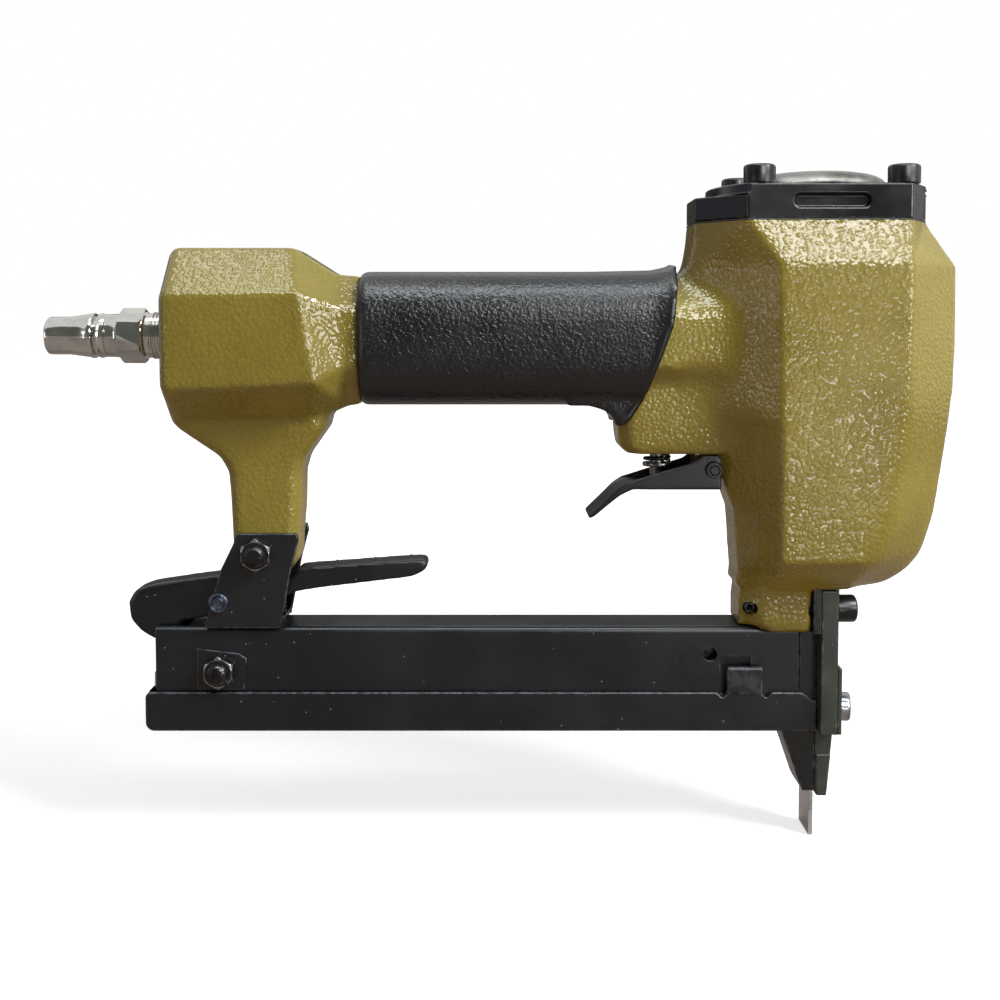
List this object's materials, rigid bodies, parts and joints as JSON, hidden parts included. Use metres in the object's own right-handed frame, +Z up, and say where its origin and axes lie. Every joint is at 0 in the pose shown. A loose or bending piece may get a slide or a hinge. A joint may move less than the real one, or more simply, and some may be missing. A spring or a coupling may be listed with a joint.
{
  "type": "pneumatic upholstery stapler",
  "caption": "Pneumatic upholstery stapler with a khaki cast body, black grip, trigger valve, driver, bottom loading magazine with sliding cover, rear latch and air plug.",
  "frame": {"origin": "centre of the hand grip, on the axis of the air plug", "axes": "+X forward to the nose, +Y to the far side, +Z up to the cap"},
  "size_m": [0.2482, 0.045, 0.184],
  "materials": {
    "khaki_paint": "gloss hammer texture",
    "grip_rubber": "leather grain",
    "black_paint": "semi gloss",
    "black_steel": "black oxide",
    "bright_steel": "ground",
    "spring_steel": "drawn",
    "alloy": "machined",
    "plug_chrome": "polished plating",
    "brass": "turned",
    "seal_rubber": "moulded"
  },
  "bodies": {
    "tool_body": {"body_casting": "khaki_paint", "grip_sleeve": "grip_rubber", "top_cap": "black_paint", "cap_gasket": "seal_rubber", "cap_screws": "black_steel", "dome_plate": "bright_steel", "cylinder_sleeve": "alloy", "cylinder_o_rings": "seal_rubber", "bumper": "seal_rubber", "trigger_pin": "black_steel", "trigger_pin_clip": "spring_steel", "valve_bushing": "brass", "bushing_o_rings": "seal_rubber", "air_plug": "plug_chrome", "plug_washer": "brass", "nose_guide": "black_steel", "nose_plate": "black_steel", "nose_cover": "black_steel", "nose_screws": "black_steel", "nose_lower_screw": "bright_steel", "foot_pin": "spring_steel", "magazine_channel": "black_paint", "channel_screws": "black_steel", "channel_nuts": "black_steel", "rear_bracket": "black_paint", "bracket_screw": "black_steel", "bracket_nut": "black_steel", "latch_pin": "bright_steel", "latch_pin_clip": "spring_steel", "latch_spring": "spring_steel", "head_valve_spring": "spring_steel"},
    "head_valve_body": {"head_valve": "alloy", "head_valve_seal": "seal_rubber", "head_valve_o_ring": "seal_rubber"},
    "piston_body": {"piston": "alloy", "piston_o_ring": "seal_rubber", "driver_blade": "bright_steel", "driver_pin": "bright_steel"},
    "trigger_body": {"trigger": "black_paint"},
    "valve_body": {"valve_stem": "bright_steel", "stem_o_ring": "seal_rubber", "valve_spring": "black_steel"},
    "latch_body": {"latch_lever": "black_paint"},
    "cover_body": {"magazine_cover": "black_paint", "staple_rail": "bright_steel", "cover_end_block": "alloy", "pusher_spring": "spring_steel"},
    "pusher_body": {"pusher": "bright_steel"}
  },
  "joints": [
    {"name": "head_valve_lift", "type": "slide", "parent": "tool_body", "child": "head_valve_body", "axis": [0, 0, 1], "range_m": [0, 0.003], "stiffness_N_per_m": 2000, "deforming": ["head_valve_spring"]},
    {"name": "driver_stroke", "type": "slide", "parent": "tool_body", "child": "piston_body", "axis": [0, 0, 1], "range_m": [0, 0.0555]},
    {"name": "trigger_pull", "type": "hinge", "parent": "tool_body", "child": "trigger_body", "pos_m": [0.05484, 0, -0.0365], "axis": [0, 1, 0], "range_deg": [0, 9.2], "stiffness_Nm_per_rad": 0.6},
    {"name": "valve_lift", "type": "slide", "parent": "tool_body", "child": "valve_body", "axis": [0, 0, 1], "range_m": [0, 0.0024], "deforming": ["valve_spring"]},
    {"name": "latch_turn", "type": "hinge", "parent": "tool_body", "child": "latch_body", "pos_m": [-0.0802, 0, -0.0727], "axis": [0, 1, 0], "range_deg": [0, 8], "stiffness_Nm_per_rad": 1.5, "deforming": ["latch_spring"]},
    {"name": "cover_slide", "type": "slide", "parent": "tool_body", "child": "cover_body", "axis": [-1, 0, 0], "range_m": [0, 0.1]},
    {"name": "pusher_slide", "type": "slide", "parent": "cover_body", "child": "pusher_body", "axis": [-1, 0, 0], "range_m": [0, 0.09], "stiffness_N_per_m": 60, "deforming": ["pusher_spring"]}
  ],
  "couplings": [
    {"joint": "valve_lift", "follows": "trigger_pull", "m_per_rad": 0.0146}
  ]
}
